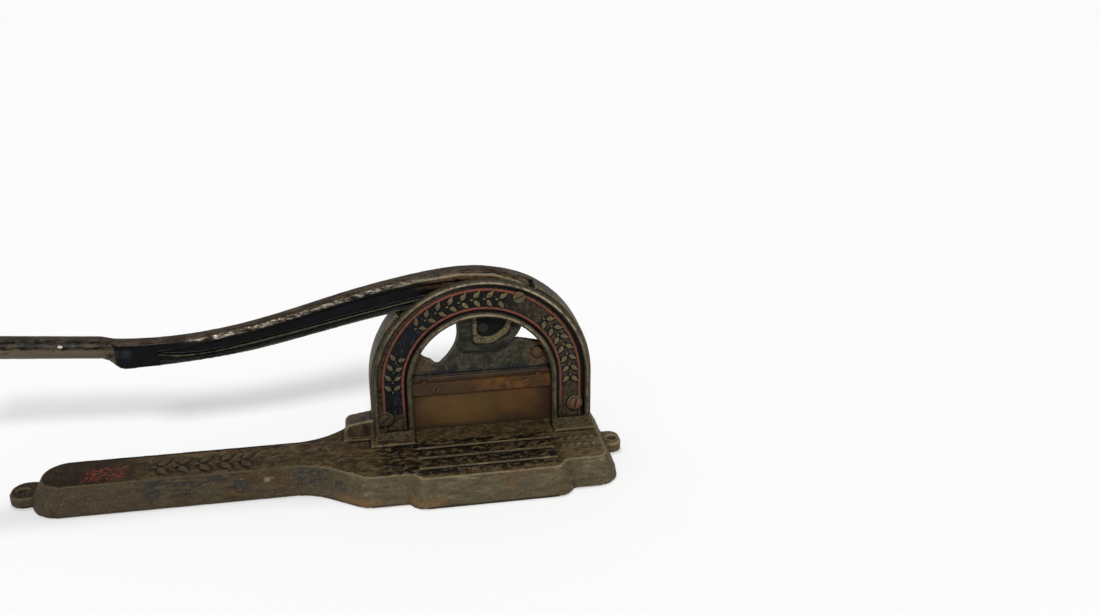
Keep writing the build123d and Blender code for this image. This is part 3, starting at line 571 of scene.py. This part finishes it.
def japanned_plate():
    """Black field with two dull red lines and rubbed leaves, between grey-olive borders."""
    s = Shade("japanned_plate")
    x, y, z = s.axes()
    rise = s.math("MAXIMUM", s.math("SUBTRACT", z, SPRING_Z / MM), 0.0)
    radius = s.math("SQRT", s.plus(s.times(x, x), s.times(rise, rise)))
    patch = s.noise(6, 8, 0.66, shift=1.3)
    fine = s.noise(1.1, 6, 0.72, shift=2.2)
    chip = s.noise(2.4, 7, 0.72, shift=6.4)
    edge = s.attribute("edge")
    aged = s.step(s.plus(x, s.sway(patch, 70)), 2, 48)

    # Field: navy to the left, worn brown to the right, with small chips
    field = s.over(BLACK, NAVY, s.step(patch, 0.56, 0.44), s.step(x, -20, -50))
    worn = s.mix(s.step(chip, 0.42, 0.6), tint(36, 31, 24), tint(70, 60, 45))
    field = s.over(field, worn, aged, 0.85)
    colour = s.over(field, tint(74, 66, 48), s.step(chip, 0.58, 0.64), 0.7)

    # Painted lines, uneven and worn through, that end above the feet
    red = s.mix(s.step(patch, 0.4, 0.62), LINE_RED, LINE_RED_DULL)
    faded = s.plus(s.times(aged, 0.8), s.times(s.step(radius, 60, 64), s.step(x, -44, -56), 0.8))
    red = s.over(red, LINE_RED_BROWN, faded)
    wobble = s.plus(radius, s.sway(s.noise(2.5, 4, 0.6, shift=5.5), 0.9))
    above_feet = s.step(s.plus(z, s.times(patch, 10)), 34, 46)
    painted = s.times(s.step(y, -8.9, -9.1), s.step(fine, 0.3, 0.42), above_feet)
    for low, high in (OUTER_LINE, INNER_LINE):
        colour = s.over(colour, red, s.within(wobble, low + 0.1, high - 0.1, 0.25), painted, 0.95)

    # Leaves, brightest over the top of the arch
    raised = s.times(s.step(y, -9.9, -10.3), s.within(radius, INNER_LINE[1], OUTER_LINE[0] + 0.1, 0.3))
    leaf = s.mix(s.step(x, -36, -10), tint(64, 60, 48), tint(122, 102, 64))
    leaf = s.over(leaf, tint(44, 40, 30), s.step(fine, 0.6, 0.44))
    leaf = s.over(leaf, tint(66, 60, 42), s.step(x, 24, 44), 0.6)
    colour = s.over(colour, leaf, raised, s.step(chip, 0.36, 0.5, 0.35, 1.0))
    colour = s.over(colour, TAN, raised, s.step(edge, 0.3, 0.9), 0.3)

    # Left foot of the field, bare and earthy
    left_foot = s.times(s.step(s.plus(z, s.sway(patch, 24)), 40, 33), s.step(x, 0, -1))
    earthy = s.mix(s.step(chip, 0.4, 0.56), tint(34, 31, 23), tint(68, 60, 43))
    colour = s.over(colour, earthy, left_foot, 0.85)

    # Borders and feet of bare casting, with painted highlights along the mouldings' ridges, stronger high
    # up
    border = s.plus(s.step(radius, 69.4, 70.0), s.step(radius, 51.2, 50.6))
    metal = s.mix(s.step(patch, 0.35, 0.65), tint(44, 40, 31), tint(66, 59, 44))
    metal = s.over(metal, tint(33, 31, 25), s.step(chip, 0.5, 0.42))
    colour = s.over(colour, metal, border, 0.95)
    foot = s.step(z, 27, 23)
    foot_metal = s.mix(s.step(chip, 0.42, 0.56), tint(38, 31, 19), tint(66, 56, 36))
    colour = s.over(colour, foot_metal, foot, 0.9)
    outer_ridge = s.within(radius, OUTER_BEAD_R - 0.4, OUTER_BEAD_R + 0.5, 0.35)
    inner_ridge = s.within(radius, INNER_BEAD_R - 0.4, INNER_BEAD_R + 0.4, 0.35)
    ridge_highlight = s.math("MAXIMUM", outer_ridge, s.times(inner_ridge, 0.8))
    ridge_highlight = s.times(ridge_highlight, s.step(y, -11.4, -11.8), s.step(z, 24, 30), s.step(patch, 0.34, 0.6, 0.15, 1.0))
    high_up = s.blend(s.step(z, 70, 105), 0.25, 0.75)
    colour = s.over(colour, PALE_TAN, ridge_highlight, high_up, s.step(x, -50, -14, 0.4, 1.0))

    # Rubbed edges, grime and painted shade in the creases, and a worn rim at the field's upper left
    rubbed = s.times(s.step(edge, 0.3, 0.8), s.step(fine, 0.4, 0.58), s.blend(border, 0.15, 0.4))
    colour = s.over(colour, TAN, rubbed)
    colour = s.over(colour, SOOT_AND_SHADE, s.step(s.attribute("crease"), 0.04, 0.45))
    worn_rim = s.times(s.within(radius, 67.3, 69.8, 0.4), s.step(x, 4, -34), s.step(chip, 0.42, 0.5))
    colour = s.over(colour, tint(62, 51, 35), worn_rim, 0.85)

    gloss = s.plus(s.blend(border, 0.34, 0.42), s.times(foot, 0.35), s.sway(fine, 0.4))
    return s.finish(colour, gloss, specular=0.1, bumps=((patch, 0.2), (chip, 0.25), (fine, 0.2)))


def japanned_lever():
    """Glossy black paint, worn brown on top, chipped bright along the upper edge with painted highlights
    there, and bare on the grip.
    """
    s = Shade("japanned_lever")
    x, y, z = s.axes()
    patch = s.noise(7, 8, 0.64, stretch=(0.5, 1, 1), shift=1.3)
    fine = s.noise(1.3, 6, 0.7, shift=2.2)
    chip = s.noise(3.2, 8, 0.72, stretch=(0.4, 1, 1), shift=6.4)
    scratch = s.noise(1.7, 8, 0.82, stretch=(0.3, 1, 1), shift=3.4)
    speck = s.noise(0.8, 5, 0.7, shift=14.2)
    up = s.attribute("up")
    drop = s.attribute("drop")

    # Black paint with blue clouds and olive specks, and a patchy painted blue-grey sheen at the arm's left
    # end
    colour = s.over(tint(8, 8, 9), tint(13, 18, 27), s.step(patch, 0.5, 0.64), 0.45)
    colour = s.over(colour, OLIVE, s.step(speck, 0.66, 0.72), s.step(chip, 0.5, 0.6))
    sheen_highlight = s.times(s.within(x, -230, -224, 5), s.within(drop, 6, 9, 2), s.step(patch, 0.36, 0.56))
    colour = s.over(colour, tint(40, 44, 52), sheen_highlight, 0.8)

    # Brown wear on the strip over the arch and along the top
    strip = s.mix(s.step(chip, 0.42, 0.56), tint(24, 20, 15), tint(84, 62, 42))
    colour = s.over(colour, strip, s.step(x, -50, -16), s.within(drop, 0.0, 9.5, 1.5), 0.9)
    crown = s.times(s.step(up, 0.3, 0.75), s.step(drop, 6.0, 4.0))
    brown = s.mix(s.step(patch, 0.4, 0.6), tint(40, 31, 21), tint(72, 60, 43))
    brown = s.over(brown, tint(30, 22, 14), s.step(fine, 0.54, 0.44), 0.7)
    colour = s.over(colour, brown, crown, s.step(chip, 0.38, 0.46))

    # Chips just under the upper edge: bare steel that doubles as a painted highlight, with dull metal round
    # it
    arm = s.plus(s.within(x, -172, -124, 22), s.times(s.within(x, -102, -46, 14), 0.6))
    bare_and_highlight_band = s.times(s.within(drop, 1.5, 3.4, 0.9), s.step(y, 0.5, -2.5), arm)
    chips_and_highlight = s.times(bare_and_highlight_band, s.step(scratch, 0.51, 0.56), s.step(chip, 0.42, 0.52))
    dull_metal = s.times(bare_and_highlight_band, s.step(scratch, 0.44, 0.5), s.step(chip, 0.36, 0.44))
    colour = s.over(colour, tint(88, 76, 54), dull_metal, 0.7)
    colour = s.over(colour, STEEL, chips_and_highlight, 0.9)

    # Painted highlight along the lip over the arch, dull ridges lower down, worn facet where the grip
    # begins
    lip_highlight = s.times(s.within(drop, 2.2, 3.4, 0.5), s.step(y, -4.2, -4.9), s.step(x, -70, -30))
    colour = s.over(colour, tint(134, 126, 104), lip_highlight, s.step(fine, 0.36, 0.5), 0.8)
    ridges = s.times(s.step(s.attribute("edge"), 0.25, 0.8), s.step(chip, 0.38, 0.5), s.step(drop, 5, 7))
    colour = s.over(colour, tint(80, 77, 58), ridges, 0.6)
    facet = s.mix(s.step(chip, 0.4, 0.6), tint(54, 46, 35), tint(84, 76, 60))
    colour = s.over(colour, facet, s.step(x, -230.5, -232.0), s.step(z, 100, 95), 0.9)

    # Grip: bare brown with black along its top, pale below, and one cream splash on the front
    hand = s.mix(s.step(patch, 0.36, 0.6), tint(40, 33, 23), tint(62, 52, 37))
    hand = s.over(hand, tint(84, 77, 64), s.step(up, 0.34, 0.08), s.step(chip, 0.34, 0.44), 0.85)
    islands = s.step(s.noise(3.0, 8, 0.8, stretch=(0.5, 1, 1), shift=11.0), 0.48, 0.51)
    hand = s.over(hand, SOOT_AND_SHADE, islands, s.within(up, 0.22, 0.9, 0.12), 0.95)
    hand = s.over(hand, PALE_TAN, s.step(fine, 0.66, 0.72), s.step(chip, 0.56, 0.62))
    splash = s.times(s.within(x, -262.5, -261.5, 3), s.within(z, 100.8, 101.4, 2.2), s.step(y, -1, -2))
    splash = s.step(s.times(splash, s.noise(1.8, 6, 0.7, shift=1.9)), 0.4, 0.46)
    hand = s.over(hand, CREAM, splash, 0.9)
    colour = s.over(colour, hand, s.step(x, -234, -240))

    # Lower lobe of the head: dull face, rubbed ledge round its recess, black floor darkened further with
    # painted shade
    lobe = s.times(s.within(x, -14.6, 28, 1), s.within(z, 70, 103, 1), s.step(y, 0.0, -0.6))
    face = s.mix(s.step(patch, 0.4, 0.6), tint(30, 30, 25), tint(56, 56, 48))
    colour = s.over(colour, face, lobe, 0.9)
    ledge = s.mix(s.step(fine, 0.4, 0.6), tint(72, 64, 45), tint(106, 95, 70))
    colour = s.over(colour, ledge, lobe, s.within(y, -4.7, -2.9, 0.25), s.step(chip, 0.36, 0.46), 0.9)
    colour = s.over(colour, tint(13, 13, 11), lobe, s.step(y, -2.9, -2.6))
    # Grime and painted shade in the creases
    colour = s.over(colour, SOOT_AND_SHADE, s.step(s.attribute("crease"), 0.06, 0.6))

    gloss = s.plus(s.blend(crown, 0.2, 0.34), s.sway(fine, 0.3))
    gloss = s.blend(lobe, gloss, 0.5)
    bumps = ((patch, 0.25), (chip, 0.25), (fine, 0.08))
    return s.finish(colour, gloss, specular=0.07, bumps=bumps, metallic=s.times(chips_and_highlight, 0.5))


def rusty_steel(name, dark, middle, light, gloss=0.55, smooth_size=9, left=None):
    """Steel browned by rust, cloudy and finely speckled, turning to the tint left, if any, at that side."""
    s = Shade(name)
    cloud = s.noise(3 * smooth_size, 3, 0.5, shift=8.2)
    patch = s.noise(smooth_size, 7, 0.6, shift=1.3)
    fine = s.noise(0.9, 6, 0.72, shift=2.2)
    colour = s.mix(s.step(cloud, 0.36, 0.62), middle, light)
    colour = s.over(colour, middle, s.step(patch, 0.56, 0.4))
    colour = s.over(colour, dark, s.step(patch, 0.4, 0.3))
    rubbed = s.times(s.step(s.attribute("edge"), 0.3, 0.8), s.step(fine, 0.36, 0.56))
    colour = s.over(colour, light, rubbed, 0.5)
    if left:
        colour = s.over(colour, left, s.step(s.axes()[0], 30, -30), 0.85)
    colour = s.over(colour, dark, s.step(fine, 0.58, 0.7), 0.45)
    # Grime and painted shade in the creases
    colour = s.over(colour, SOOT_AND_SHADE, s.step(s.attribute("crease"), 0.1, 0.8, 0.0, 0.8))
    roughness = s.plus(gloss, s.sway(fine, 0.3))
    return s.finish(colour, roughness, specular=0.25, bumps=((patch, 0.12), (fine, 0.08)))


def blade_rust():
    """Even brown rust on the blade, lighter at its middle, darker round it, with painted shade at both
    ends.
    """
    s = Shade("blade_rust")
    x, y, z = s.axes()
    cloud = s.noise(30, 4, 0.55, shift=8.2)
    patch = s.noise(7, 7, 0.62, shift=1.3)
    fine = s.noise(0.9, 6, 0.72, shift=2.2)

    # An oval lighter patch about a point left of the blade's centre
    across = s.math("POWER", s.times(s.plus(x, 14), 1 / 48), 2.0)
    upward = s.math("POWER", s.times(s.plus(z, -33), 1 / 22), 2.0)
    away = s.math("SQRT", s.plus(across, upward))
    middle = s.step(s.plus(away, s.sway(cloud, 1.6)), 1.3, 0.1)
    colour = s.mix(middle, tint(46, 31, 14), tint(84, 61, 29))
    warm = s.times(s.within(x, 22, 34, 14), s.within(z, 32, 44, 8), s.step(cloud, 0.36, 0.56))
    colour = s.over(colour, tint(98, 60, 18), warm, 0.6)
    colour = s.over(colour, tint(72, 48, 22), s.step(patch, 0.5, 0.68), 0.5)
    colour = s.over(colour, tint(40, 28, 18), s.step(fine, 0.56, 0.7), 0.4)

    # Grime greyer on the back's upper part, darker along the foot, and painted shade at both ends where the
    # blade runs behind the arch's legs
    colour = s.over(colour, tint(58, 52, 42), s.step(z, 47, 54), s.step(y, -0.4, 0.4), 0.6)
    colour = s.over(colour, tint(38, 26, 16), s.step(z, 22.5, 19), 0.6)
    colour = s.over(colour, tint(46, 24, 16), s.step(x, 34, 48), 0.7)
    colour = s.over(colour, tint(46, 30, 18), s.step(x, -38, -47), 0.5)
    colour = s.over(colour, tint(104, 82, 52), s.step(s.attribute("edge"), 0.4, 0.9), 0.4)
    # Grime and painted shade in the creases
    colour = s.over(colour, SOOT_AND_SHADE, s.step(s.attribute("crease"), 0.06, 0.5))
    roughness = s.plus(0.5, s.sway(fine, 0.3))
    return s.finish(colour, roughness, specular=0.3, bumps=((patch, 0.1), (fine, 0.06)))


def carrier_iron():
    """Grey-green casting with rusty ears, a blue-grey lip over the clamp bar and rubbed edges."""
    s = Shade("carrier_iron")
    x, _, z = s.axes()
    patch = s.noise(8, 8, 0.66, shift=1.3)
    crust = s.noise(3, 8, 0.72, shift=6.1)
    fine = s.noise(1.1, 6, 0.7, shift=2.2)
    colour = s.mix(s.step(patch, 0.35, 0.65), tint(32, 33, 27), tint(56, 55, 44))
    colour = s.over(colour, OLIVE, s.step(crust, 0.52, 0.6), 0.65)
    colour = s.over(colour, tint(24, 23, 18), s.step(crust, 0.46, 0.4), 0.6)
    left_ear = s.times(s.step(x, -27, -36), s.step(z, 58, 63))
    right_ear = s.times(s.step(x, 26, 42), s.step(z, 56, 60))
    rust = s.mix(s.step(fine, 0.4, 0.6), tint(56, 42, 27), tint(96, 77, 54))
    colour = s.over(colour, rust, s.plus(left_ear, right_ear), s.step(crust, 0.36, 0.5), 0.9)
    colour = s.over(colour, tint(26, 29, 36), s.within(z, 54.2, 60.5, 0.8), s.step(patch, 0.6, 0.48), 0.7)
    rubbed = s.times(s.step(s.attribute("edge"), 0.3, 0.8), s.step(fine, 0.3, 0.55))
    colour = s.over(colour, OLIVE, rubbed, 0.6)
    # Grime and painted shade in the creases
    colour = s.over(colour, SOOT_AND_SHADE, s.step(s.attribute("crease"), 0.05, 0.5))
    gloss = s.plus(0.5, s.sway(fine, 0.3))
    return s.finish(colour, gloss, specular=0.12, bumps=((patch, 0.25), (crust, 0.4), (fine, 0.15)))


# ---------------------------------------------------------------- the object

iron = base_iron()
frame_paint = japanned_frame()
plate_paint = japanned_plate()
lever_paint = japanned_lever()
carrier = carrier_iron()
blade_steel = blade_rust()
clamp_steel = rusty_steel("clamp_steel", tint(30, 19, 8), tint(62, 40, 16), tint(94, 60, 20),
                          gloss=0.65, smooth_size=5, left=tint(54, 39, 24))
guide_steel = rusty_steel("guide_steel", tint(44, 34, 24), tint(72, 58, 42), tint(96, 82, 60))
screw_steel = rusty_steel("turned_steel", tint(38, 26, 15), tint(62, 43, 24), tint(86, 60, 34),
                          smooth_size=3)
dull_steel = rusty_steel("dull_steel", tint(36, 32, 20), tint(70, 62, 38), tint(98, 86, 52),
                         gloss=0.5, smooth_size=3)
leg_steel = rusty_steel("leg_steel", tint(44, 29, 18), tint(80, 56, 36), tint(102, 74, 48),
                        smooth_size=3, left=tint(38, 34, 24))
grimy_steel = rusty_steel("grimy_steel", SOOT_AND_SHADE, tint(20, 18, 15), tint(30, 27, 22), gloss=0.6, smooth_size=3)

recast("base", iron, voxel=0.7 * MM,
       grain=((7 * MM, 0.35 * MM), (1.8 * MM, 0.12 * MM)), extra=dress_base)
recast("rear_frame", frame_paint, voxel=0.65 * MM, grain=((6 * MM, 0.25 * MM),))
recast("front_plate", plate_paint, voxel=0.42 * MM, grain=((5 * MM, 0.15 * MM),),
       extra=dress_plate, reach=0.16 * MM)
lever = recast("lever", lever_paint, voxel=0.6 * MM, soften=3,
               grain=((6 * MM, 0.25 * MM),))
mark_drop(lever)
recast("blade_carrier", carrier, voxel=0.6 * MM, grain=((6 * MM, 0.2 * MM),))
recast("blade", blade_steel, voxel=0.45 * MM, soften=1, grain=((8 * MM, 0.08 * MM),))
recast("clamp_bar", clamp_steel, voxel=0.4 * MM, grain=((6 * MM, 0.15 * MM),))
for side in ("left", "right"):
    recast(f"guide_{side}", guide_steel, voxel=0.45 * MM)

# Voxel of each small part in millimetres, and the steels of those that aren't plain screw steel
SMALL_PARTS = {
    "drive_pin": 0.35, "pivot_bolt": 0.25, "pivot_spacer": 0.4, "pivot_washer": 0.3, "pivot_nut": 0.35,
    "clamp_screws": 0.2, "blade_dowels": 0.2, "carrier_stud": 0.25, "leg_screws": 0.25, "leg_nuts": 0.3,
    "base_screws": 0.35,
}
OTHER_STEELS = {
    "drive_pin": grimy_steel,
    "pivot_bolt": dull_steel,
    "blade_dowels": clamp_steel,
    "leg_screws": leg_steel,
}
for node, voxel in SMALL_PARTS.items():
    steel = OTHER_STEELS.get(node, screw_steel)
    recast(node, steel, voxel * MM, soften=3, grain=((3 * MM, 0.1 * MM),), reach=0.1 * MM)


# ---------------------------------------------------------------- studio

def make_floor(reach, grey):
    """Plain pale floor that runs out of sight, reach metres to each side."""
    mesh = bpy.data.meshes.new("floor")
    corners = [(-reach, -reach, 0), (reach, -reach, 0), (reach, reach, 0), (-reach, reach, 0)]
    mesh.from_pydata(corners, [], [(0, 1, 2, 3)])
    floor = new_object("floor", mesh)
    s = Shade("pale_floor")
    mesh.materials.append(s.finish((grey, grey, grey), 0.9, specular=0.1))


def make_sun(name, turn, rise, spread, power):
    """Wide soft light from far away, turn degrees round from the front and rise degrees above level."""
    light = bpy.data.lights.new(name, "SUN")
    light.angle = math.radians(spread)
    light.energy = power
    holder = bpy.data.objects.new(name, light)
    bpy.context.scene.collection.objects.link(holder)
    turn, rise = math.radians(turn), math.radians(rise)
    source = Vector((math.sin(turn) * math.cos(rise), -math.cos(turn) * math.cos(rise), math.sin(rise)))
    holder.rotation_euler = source.to_track_quat("Z", "Y").to_euler()


def make_world(strength):
    """Even white light from all round."""
    world = bpy.data.worlds.new("studio")
    bpy.context.scene.world = world
    world.use_nodes = True
    background = world.node_tree.nodes["Background"]
    background.inputs["Color"].default_value = (1, 1, 1, 1)
    background.inputs["Strength"].default_value = strength


def make_camera(turn, rise, roll, distance, lens, target):
    """Camera looking at target from the left front, turn degrees from square on and rise above level."""
    turn, rise, roll = (math.radians(angle) for angle in (turn, rise, roll))
    back = Vector((-math.sin(turn) * math.cos(rise), -math.cos(turn) * math.cos(rise), math.sin(rise)))
    camera = bpy.data.objects.new("camera", bpy.data.cameras.new("camera"))
    bpy.context.scene.collection.objects.link(camera)
    camera.data.sensor_width = 36
    camera.data.lens = lens
    camera.data.clip_start = 0.01
    camera.rotation_mode = "QUATERNION"
    look = (-back).to_track_quat("-Z", "Y")
    camera.rotation_quaternion = look @ Matrix.Rotation(roll, 3, "Z").to_quaternion()
    camera.location = Vector(target) + back * distance
    bpy.context.scene.camera = camera


make_floor(reach=12, grey=0.85)
make_sun("front_top", turn=-4, rise=41, spread=12, power=2.4)
make_sun("overhead", turn=190, rise=70, spread=16, power=1.0)
make_world(strength=0.35)
bpy.context.scene.view_settings.view_transform = "Standard"
make_camera(turn=9.86, rise=22.33, roll=-0.33, distance=0.7437, lens=36.33, target=(0.0479, 0, 0.1012))
